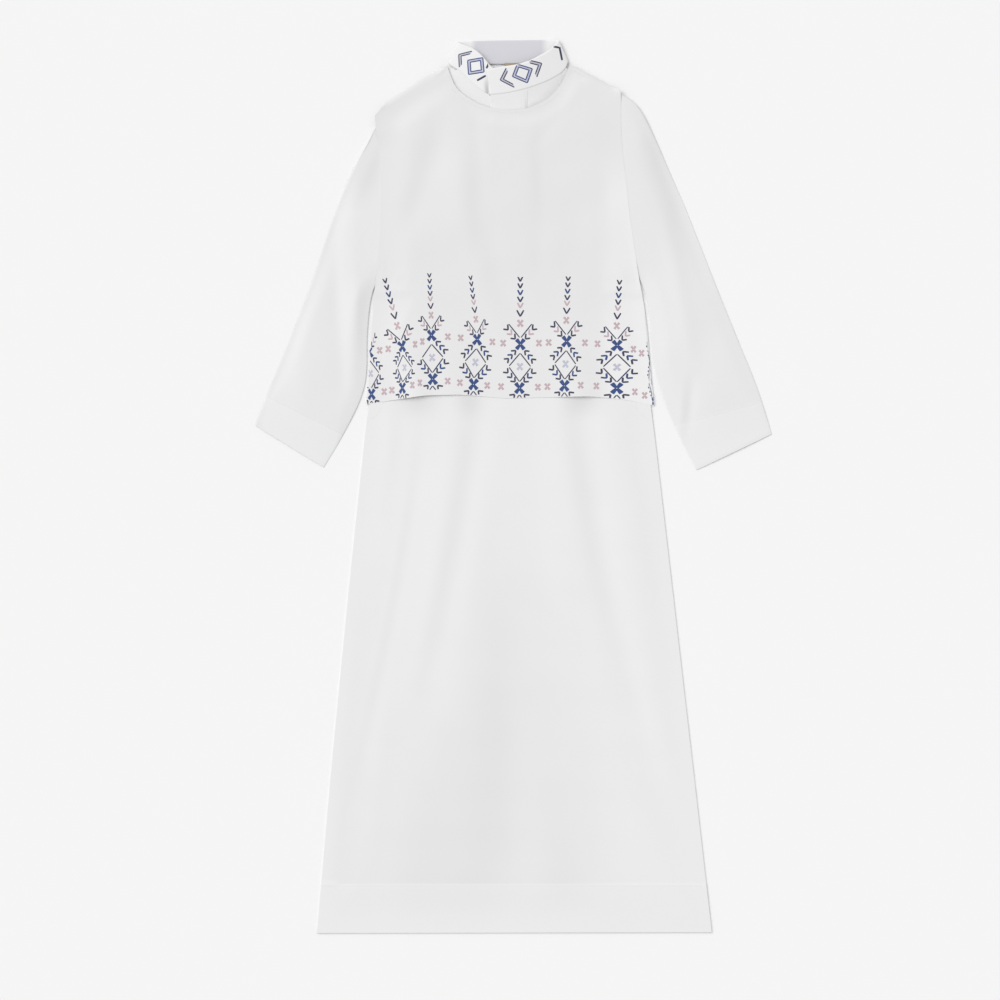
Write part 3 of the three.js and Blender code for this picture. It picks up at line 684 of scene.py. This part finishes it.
# The collar's grey is a painted shadow for the gap. Its inner face at the back gets a thread tint with
# painted shade.
collar_cloth = dress_cloth("white_collar_cloth", "#ECECEC", "#E8E8E8", painted_shade_colour="#BDBDC0", lining_and_shade="#D2D1D7",
                           lining_shade_top=LINING_SHADE_TOP, lining_shade_span=LINING_SHADE_SPAN)

band = cad_shell("collar")
refine(band)
x, h, _ = plan(band)
# painted shadow in the gap, in the collar's grey
note_painted_shade(band, folds_at(GAP_PAINTED_SHADOW, x, h, fade=4) * (x < GAP_SHADOW_RIGHT))
collar = finish_cloth(band, "stand_collar", collar_cloth, 0)
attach(collar, "root")
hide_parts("collar")

# ---------------------------------------------------------------- border on the overlay
# A woven-looking border of crossed leaves and diamonds in fine thread, with a rising row of small
# chevrons over each column. Each stroke is a low bar of thread that follows the cloth.
THREAD_RISE = 0.16 * MM      # how far a stroke's middle stands off the cloth
THREAD_SINK = 0.04 * MM      # its sides lie this far off the cloth
THREAD_DEPTH = 0.22 * MM     # a stroke's thickness, part of it in the cloth
LEAST_STROKE = 0.3           # a stroke cut off by the cloth's edge shows if this share of it is left
CUT_BACK = 0.9               # it is cut back by this factor until it lies on the cloth
STROKE_STEP = 2.5            # millimetres from row to row of its vertices
TIP_ROUND = 0.15             # how much narrower its ends are


def stroke(threads, height, side, start, end, width, place=None):
    """Lays one bar of thread from start to end, in millimetres. place turns a motif's own
    coordinates into plan ones."""
    start = Vector(start)
    end = Vector(end)
    along = end - start
    across = Vector((-along.y, along.x)).normalized() * width / 2
    full = along.length

    def off_cloth(t):
        tip = start + along + across * t
        spot = place(*tip) if place else tip
        return height(spot[0] * MM, spot[1] * MM + HEM_Y) is None

    while any(off_cloth(t) for t in (-1, 0, 1)):
        along *= CUT_BACK
        if along.length < full * LEAST_STROKE:
            return
    steps = max(2, round(along.length / STROKE_STEP))
    bar = bmesh.ops.create_grid(threads, x_segments=steps, y_segments=2, size=1)["verts"]
    for vertex in bar:
        s = vertex.co.x
        t = vertex.co.y
        point = start + along * (s + 1) / 2 + across * t * (1 - TIP_ROUND * s ** 4)
        spot = place(*point) if place else point
        x = spot[0] * MM
        y = spot[1] * MM + HEM_Y
        z = height(x, y)
        if z is None:
            bmesh.ops.delete(threads, geom=bar, context="VERTS")
            return
        vertex.co = (x, y, z + side * (THREAD_RISE * (1 - t * t) + THREAD_SINK))
    if side < 0:
        bmesh.ops.reverse_faces(threads, faces=list({face for vertex in bar for face in vertex.link_faces}))


def embroidery_thread(name, light, dark):
    """Rayon embroidery thread in close satin stitches: fine slanting ridges."""
    strand = 0.9 * MM        # real strands are 0.4 mm; drawn coarser so that they can show
    return ribbed_thread(name, light, dark, strand, "DIAGONAL",
                         waves=(1.5, 1), relief=0.35, gloss=(0.55, 0.1))


THREADS = {
    "navy": embroidery_thread("navy_thread", "#464764", "#2C2C47"),
    "blue": embroidery_thread("blue_thread", "#36508C", "#263D6E"),
    "pink": embroidery_thread("pink_thread", "#CBB4BA", "#B7A0A7"),
    "lavender": embroidery_thread("lavender_thread", "#C6C5D3", "#B6B5C8"),
}
LINE = 1.4                   # width of a drawn line
LEAF = 2.1                   # width of a leaf's arms
CHEVRON = 2.0
PETAL = 2.7                  # width of each of the two points of a large cross's arm
SMALL_PETAL = 1.7
FORK = math.radians(10)      # how far each point turns off its arm
STEEP = math.radians(52)     # how steeply a cross's arms rise
ARM_START = 0.06             # they start at this share of their length from the middle
COLUMN_UPS = [0, 51, 75.4, 129.5]    # lower cross, upper cross, pink cross and top of a column
LEAN_UPS = [4, 25, 46]       # the lower, widest and upper corner of its diamond
WIDE_BLEND = (44, 60)        # from the diamond's width to that of the upper cross
LOOK = 4                     # a column's heading is taken between points this far below and above
# One column of the border, in millimetres across from its middle line and up from its lower cross:
# each cross's height, reach, petal width and thread,
CROSSES = [
    (0, 7.4, PETAL, "blue"),
    (51, 7.4, PETAL, "blue"),
    (25, 4.8, SMALL_PETAL, "lavender"),
    (75.4, 4.8, SMALL_PETAL, "pink"),
]
# each chevron's foot, half width, height and thread,
CHEVRONS = [
    (83.5, 4.0, 7.2, "navy"),
    (93.3, 3.2, 6.0, "pink"),
    (100.4, 3.2, 6.0, "navy"),
    (108.4, 3.0, 5.8, "blue"),
    (116.3, 2.8, 5.6, "navy"),
    (124.1, 2.7, 5.4, "navy"),
]
# and the leaves, which stand in rows of three beside the lines: each has a corner and two arms.
LEAVES = [
    {"corners": [(14.1, 67.9), (10.1, 62.4), (5.9, 57.2)], "arms": [(0.6, 6.2), (5.6, 0.8)],
     "threads": ["navy", "pink", "navy"]},
    {"corners": [(5.2, 43.6), (9.2, 38.7), (13.3, 34)], "arms": [(5.6, -0.6), (1.0, -5.4)],
     "threads": ["navy", "blue", "navy"]},
    {"corners": [(13.8, 17.4), (9.2, 12), (5.2, 7.2)], "arms": [(0.4, 5.6), (5.6, 0.6)],
     "threads": ["navy", "blue", "navy"]},
    {"corners": [(5.6, -7.4)], "arms": [(6.2, -0.8), (0.8, -4.4)], "threads": ["navy"]},
]
LINES = [
    [(0.9, 59), (13.4, 74.6)],       # arms of the V over the upper cross
    [(0.3, 40.3), (12.4, 25.6)],     # upper half of the diamond
    [(12.4, 23.8), (0.3, 7.6)],      # lower half of the diamond
    [(0.2, -8), (3.6, -12.5)],       # the next column's tip, cut off by the hem
]


def cross_arms(reach):
    """The slanting arms of a cross, from its middle. Each of the four ends in two points."""
    return [Vector((across * math.cos(STEEP + fork), up * math.sin(STEEP + fork))) * reach
            for across in (-1, 1) for up in (-1, 1) for fork in (-FORK, FORK)]


def draw_column(meshes, height, side, place, folded=False):
    """Draws one column, both its halves, on the cloth. A small fold may hide its upper left leaves."""
    def lay(thread, start, end, width):
        stroke(meshes[thread], height, side, start, end, width, place)

    for up, reach, petal, thread in CROSSES:
        middle = Vector((0, up))
        for arm in cross_arms(reach):
            lay(thread, middle + arm * ARM_START, middle + arm, petal)
    for half in (-1, 1):
        for foot, across, tall, thread in CHEVRONS:
            lay(thread, (0, foot), (half * across, foot + tall), CHEVRON)
        for row in LEAVES:
            if folded and half < 0 and row is LEAVES[1]:
                continue
            for (corner_x, corner_up), thread in zip(row["corners"], row["threads"]):
                for arm_x, arm_up in row["arms"]:
                    start = (half * corner_x, corner_up)
                    lay(thread, start, (half * (corner_x + arm_x), corner_up + arm_up), LEAF)
        for (from_x, from_up), (to_x, to_up) in LINES:
            lay("navy", (half * from_x, from_up), (half * to_x, to_up), LINE)


def column_place(column):
    """How a column lies on the cloth: its middle line runs through four points, and its halves are
    narrowed or widened where the cloth turns away."""
    xs = [point[0] for point in column["line"]]
    hs = [point[1] for point in column["line"]]
    left, right, upper = column["wide"]

    def on_line(up):
        return Vector((np.interp(up, COLUMN_UPS, xs), np.interp(up, COLUMN_UPS, hs)))

    def place(across, up):
        middle = on_line(up)
        middle.x += column.get("lean", 0) * float(np.interp(up, LEAN_UPS, [0, 1, 0]))
        if up < 0:
            middle.y += up
        along = on_line(up + LOOK) - on_line(up - LOOK)
        heading = along.normalized() if along.length > 0 else Vector((0, 1))
        sideways = Vector((heading.y, -heading.x))
        low_wide = left if across < 0 else right
        wide = low_wide + (upper - low_wide) * float(ease(*WIDE_BLEND, up))
        return middle + sideways * across * wide

    return place


# Where each column lies: the middles of its lower cross, upper cross and pink cross, and its top.
# wide is how much of its width shows left and right of the middle, and over the upper cross. lean is
# how far its diamond stands to the right of the middle line.
COLUMNS = [
    {"line": [(-165.3, 627.5), (-167.7, 676.6), (-168.9, 700), (-169.5, 749)], "wide": (0.72, 0.78, 0.5)},
    {"line": [(-129.4, 634.7), (-129.4, 682.9), (-135.2, 706.9), (-150.1, 762.3)], "wide": (0.66, 0.66, 0.9),
     "lean": 2.8},
    {"line": [(-94.2, 645), (-95.7, 696.1), (-96, 719.6), (-98, 768.3)], "wide": (0.9, 1.03, 0.78),
     "folded": True},
    {"line": [(-46.7, 638.9), (-42.2, 691.3), (-43.8, 714.7), (-50.2, 765.4)], "wide": (0.94, 0.99, 0.72)},
    {"line": [(6.9, 634.6), (8, 685.6), (7.9, 709.9), (7.9, 764)], "wide": (1, 1, 1)},
    {"line": [(59.3, 637.3), (62, 688.9), (61.4, 713.6), (63.7, 764.5)], "wide": (1, 0.95, 0.95)},
    {"line": [(120.2, 634.4), (120.7, 684.4), (120.1, 706.9), (123.5, 760.5)], "wide": (1.27, 1.27, 0.98)},
    {"line": [(162.4, 619.1), (158.6, 666.2), (158.4, 690), (157, 740)], "wide": (0.22, 0.22, 0.2)},
]
# Pairs of small crosses between two columns: how far across they lie, beside the upper and the lower
# crosses, and how far above the straight line between those.
PAIRS = [
    {"upper": (0.31, 0.57), "lower": (0.41, 0.66), "rise": (0, 0), "size": 0.95},
    {"upper": (0.44, 0.69), "lower": (0.33, 0.58), "rise": (-3.2, 0), "size": 0.75},
    {"upper": (0.36, 0.64), "lower": (0.37, 0.67), "rise": (0, 0), "size": 1},
    {"upper": (0.35, 0.60), "lower": (0.30, 0.60), "rise": (-1, 0), "size": 1},
    {"upper": (0.40, 0.61), "lower": (0.41, 0.62), "rise": (0, 0), "size": 1},
    {"upper": (0.36, 0.61), "lower": (0.31, 0.61), "rise": (0, 1.5), "size": 1},
    {"upper": (0.50, 0.75), "lower": (0.50, 0.77), "rise": (4.5, 3.5), "size": 0.95},
]
PAIR_REACH = 4.4             # how far these crosses' arms reach,
PAIR_START = 0.1             # and at which share of that they start


def draw_pair(meshes, height, side, before, after, pair):
    """Draws the small crosses between two columns."""
    for level, row in ((1, "upper"), (0, "lower")):
        start = Vector(before["line"][level])
        end = Vector(after["line"][level])
        for share in pair[row]:
            middle = start.lerp(end, share) + Vector((0, pair["rise"][0 if level else 1]))
            for arm in cross_arms(PAIR_REACH):
                arm.x *= pair["size"]
                stroke(meshes["pink"], height, side, middle + arm * PAIR_START, middle + arm, SMALL_PETAL)


def thread_pieces(meshes, prefix):
    """Gives the strokes of each thread their thickness and makes them one piece."""
    for thread, threads in meshes.items():
        if not threads.faces:
            threads.free()
            continue
        piece = finish_cloth(threads, f"{prefix}_{thread}", THREADS[thread], THREAD_DEPTH)
        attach(piece, "root")


border = {thread: bmesh.new() for thread in THREADS}
on_front = surface_of(overlay_front, 1)
for column in COLUMNS:
    draw_column(border, on_front, 1, column_place(column), column.get("folded", False))
for before, after, pair in zip(COLUMNS, COLUMNS[1:], PAIRS):
    draw_pair(border, on_front, 1, before, after, pair)
thread_pieces(border, "front_border")

# The overlay's back has the same border, laid straight, on the side that faces the table.
BACK_PITCH = 56              # from column to column
BACK_COLUMNS = 6
BACK_CROSS = 15              # from the hem up to the lower crosses
BACK_MIDDLE = -3.7           # how far across the middle of the border lies
BACK_HEM = ([-171, -63, 90, 164], [616, 627, 625, 614])
back_border = {thread: bmesh.new() for thread in THREADS}
on_back = surface_of(overlay_back, -1)
back_columns = []
for number in range(BACK_COLUMNS):
    middle = BACK_MIDDLE + BACK_PITCH * (number - (BACK_COLUMNS - 1) / 2)
    low = float(np.interp(middle, *BACK_HEM)) + BACK_CROSS
    line = [(middle, low + up) for up in COLUMN_UPS]
    back_columns.append({"line": line, "wide": (1, 1, 1)})
for column in back_columns:
    draw_column(back_border, on_back, -1, column_place(column))
for before, after in zip(back_columns, back_columns[1:]):
    draw_pair(back_border, on_back, -1, before, after, PAIRS[4])
thread_pieces(back_border, "back_border")

# ---------------------------------------------------------------- motifs on the collar
# Double-line diamonds between chevrons, worked in the same threads, all round the outside of the
# collar. Where the band turns over at the sides of the neck they turn with it.
DOUBLE = 3.6                 # between the corners of a double line's two lines
SHORT_REACH = 8              # a motif smaller than this has them closer together
FINE_LINE = 1.55
BAND = 2.4                   # the pale band between the two lines
COLLAR_MOTIFS = [
    {"thread": "navy", "points": [(-8.5, 1006.6), (-15.4, 993), (0.9, 984.6)]},
    {"thread": "blue", "points": [(4.3, 1011.2), (21.9, 1006), (16.1, 989.8), (-1.2, 997.1)], "closed": True},
    {"thread": "navy", "points": [(17.7, 1016), (32.8, 1012.3), (27.1, 996.6)]},
    {"thread": "navy", "points": [(-48.3, 1026.5), (-63.6, 1022.8), (-63, 1008.1)]},
    {"thread": "blue", "points": [(-53.3, 1016), (-35.8, 1018.9), (-34.3, 1002.4), (-52.3, 999.7)],
     "closed": True},
]
# Motifs that the folded band hides in part: only these thick strokes of them show.
COLLAR_STROKES = [
    ((46.5, 1032), (53.4, 1030.8)),
    ((53.6, 1031.4), (56.6, 1016.2)),
    ((-42.3, 992.6), (-32.2, 998.2)),
    ((-29, 1012), (-31.4, 1006.6)),
]
THICK_LINE = 2.4
# The motifs on the outside of the collar's back, from the middle of each diamond.
UNDER_MIDDLES = (-46, -8, 30)
UNDER_DIAMOND = [(-8.5, 1023), (0, 1031), (8.5, 1023), (0, 1015)]
UNDER_TIP = [(12, 1030), (17, 1023), (12, 1015)]


def double_line(meshes, height, side, motif):
    """Draws a motif's outline, and once more inside it."""
    points = [Vector(point) for point in motif["points"]]
    closed = motif.get("closed")
    centre = sum(points, Vector((0, 0))) / len(points) if closed else (points[0] + points[2]) / 2
    reach = (points[0] - centre).length
    inner = [centre + (point - centre) * (1 - DOUBLE / max(reach, SHORT_REACH)) for point in points]
    middle = [(outer_point + inner_point) / 2 for outer_point, inner_point in zip(points, inner)]
    rings = [
        (middle, "lavender", BAND),
        (points, motif["thread"], FINE_LINE),
        (inner, motif["thread"], FINE_LINE),
    ]
    for ring, thread, width in rings:
        ends = ring[1:] + ring[:1] if closed else ring[1:]
        for start, end in zip(ring, ends):
            stroke(meshes[thread], height, side, start, end, width)


collar_threads = {thread: bmesh.new() for thread in THREADS}
on_collar = surface_of(collar, 1)
for motif in COLLAR_MOTIFS:
    double_line(collar_threads, on_collar, 1, motif)
for start, end in COLLAR_STROKES:
    stroke(collar_threads["navy"], on_collar, 1, start, end, THICK_LINE)
under_collar = surface_of(collar, -1)
for middle in UNDER_MIDDLES:
    diamond = [(middle + across, up) for across, up in UNDER_DIAMOND]
    double_line(collar_threads, under_collar, -1, {"thread": "blue", "points": diamond, "closed": True})
    for half in (-1, 1):
        tip = [(middle + half * across, up) for across, up in UNDER_TIP]
        double_line(collar_threads, under_collar, -1, {"thread": "navy", "points": tip})
thread_pieces(collar_threads, "collar_motifs")

# ---------------------------------------------------------------- stitching
# Lockstitch in white polyester thread that holds the hems, the cuffs and the edges of the placket,
# neckline and armholes.
STITCH = 2.6                 # one stitch and the gap after it
STITCH_LENGTH = 2.0
STITCH_WIDTH = 0.55
STITCH_DEPTH = 0.15 * MM
FROM_EDGE = 2                # the hem is stitched this far below its turned edge
HEM_SEWN = 222               # and this far to each side
PLACKET_ROWS = (-24.5, 9, 13.5)
PLACKET_SEWN = (800, 974)
NECK_SEWN = [(-73, 984), (-64.5, 976), (-55, 968.6), (-41, 961.2), (-27, 957), (-7, 954.6), (17, 956.6),
             (35, 964), (46, 971), (57.5, 984)]


def stitch_line(threads, height, points, side=1):
    """Sews along a line through plan points."""
    for (x0, h0), (x1, h1) in zip(points, points[1:]):
        length = math.hypot(x1 - x0, h1 - h0)
        heading = Vector((x1 - x0, h1 - h0)) / length
        for number in range(int(length / STITCH)):
            start = Vector((x0, h0)) + heading * number * STITCH
            stroke(threads, height, side, start, start + heading * STITCH_LENGTH, STITCH_WIDTH)


def sewn(threads, name):
    """Makes a row of stitches one piece."""
    piece = finish_cloth(threads, name, THREADS["white"], STITCH_DEPTH)
    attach(piece, "root")


THREADS["white"] = embroidery_thread("white_sewing_thread", "#E6E6E6", "#DADADA")
hem_stitches = bmesh.new()
stitch_line(hem_stitches, on_robe, [(-HEM_SEWN, HEM_LINE - FROM_EDGE), (HEM_SEWN, HEM_LINE - FROM_EDGE)])
sewn(hem_stitches, "hem_stitches")
placket_stitches = bmesh.new()
for across in PLACKET_ROWS:
    stitch_line(placket_stitches, on_placket, [(across, up) for up in PLACKET_SEWN])
sewn(placket_stitches, "placket_stitches")
neck_stitches = bmesh.new()
stitch_line(neck_stitches, on_front, NECK_SEWN)
sewn(neck_stitches, "neckline_stitches")
for side, made in SLEEVES.items():
    cuff_stitches = bmesh.new()
    on_sleeve = surface_of(bpy.data.objects[f"set_in_sleeve_{side}"], 1)
    stitch_line(cuff_stitches, on_sleeve, made["cuff"])
    sewn(cuff_stitches, f"cuff_stitches_{side}")

# ---------------------------------------------------------------- pressing
# The finished garment is ironed flat. Real layers of dress cloth are about half a millimetre thick,
# thinner than the walls of their solids, so each of them lies a little closer to the table.
PRESSED_HEIGHT = 0.75
SHOULDER_PRESS = 0.5         # the shoulder seam on the left loses this share more,
SHOULDER_REACH = 34          # less and less up to this far from it
SHOULDER_SEAM = [(-161, 952), (-100, 995)]


def from_line(x, h, line):
    """How far each place lies from a straight line between two plan points."""
    (x0, h0), (x1, h1) = line
    across, up = x1 - x0, h1 - h0
    along = np.clip(((x - x0) * across + (h - h0) * up) / (across ** 2 + up ** 2), 0, 1)
    return np.hypot(x - x0 - along * across, h - h0 - along * up)


for piece in bpy.data.objects:
    if piece.type == "MESH" and piece.name not in frame["nodes"]:
        corners = piece.data.vertices
        places = np.empty(len(corners) * 3)
        corners.foreach_get("co", places)
        spots = places.reshape(-1, 3)
        distance = from_line(spots[:, 0] / MM, (spots[:, 1] - HEM_Y) / MM, SHOULDER_SEAM)
        spots[:, 2] *= PRESSED_HEIGHT * (1 - SHOULDER_PRESS * (1 - ease(0, SHOULDER_REACH, distance)))
        corners.foreach_set("co", places)

# ---------------------------------------------------------------- table, light and camera
# A plain pale table top, an even white surround and a weak, very soft light from above the shoulders.
TABLE_SIZE = 40
TABLE_GAP = 0.05 * MM        # how far the table top lies below the cloth
SURROUND = 0.62              # strength of the even white light from all sides
SUN_POWER = 1.75
SUN_SPREAD = math.radians(50)
SUN_HEADING = (0.8, -0.62, -1.1)
CAMERA_SPOT = (-0.0157, -0.0157)
CAMERA_RANGE = 30
FRAME_WIDTH = 1.16461        # metres across the camera's view
LENS = 300
SENSOR = 36

top = bmesh.new()
bmesh.ops.create_grid(top, x_segments=1, y_segments=1, size=TABLE_SIZE / 2)
bmesh.ops.translate(top, verts=top.verts, vec=(0, 0, -TABLE_GAP))
table_mesh = bpy.data.meshes.new("table_top")
top.to_mesh(table_mesh)
top.free()
table = make_object("table_top", table_mesh)
paint, paint_tree = blank_material("pale_matt_paint")
paint_surface = add(paint_tree, "BsdfPrincipled", {
    "Base Color": linear("#F2F2F2"), "Roughness": 0.9, "Specular IOR Level": 0.2})
add(paint_tree, "OutputMaterial", {"Surface": paint_surface.outputs[0]})
table_mesh.materials.append(paint)

world = bpy.data.worlds.new("surround")
bpy.context.scene.world = world
world.use_nodes = True
world.node_tree.nodes["Background"].inputs["Color"].default_value = (1, 1, 1, 1)
world.node_tree.nodes["Background"].inputs["Strength"].default_value = SURROUND

soft = bpy.data.lights.new("soft_light", "SUN")
soft.energy = SUN_POWER
soft.angle = SUN_SPREAD
soft_light = make_object("soft_light", soft)
soft_light.rotation_euler = Vector(SUN_HEADING).to_track_quat("-Z", "Y").to_euler()

view = bpy.data.cameras.new("camera")
view.lens = LENS
view.sensor_width = SENSOR
view.clip_end = CAMERA_RANGE
camera = make_object("camera", view)
camera.location = (*CAMERA_SPOT, FRAME_WIDTH * LENS / SENSOR)
bpy.context.scene.camera = camera
bpy.context.scene.view_settings.view_transform = "Standard"
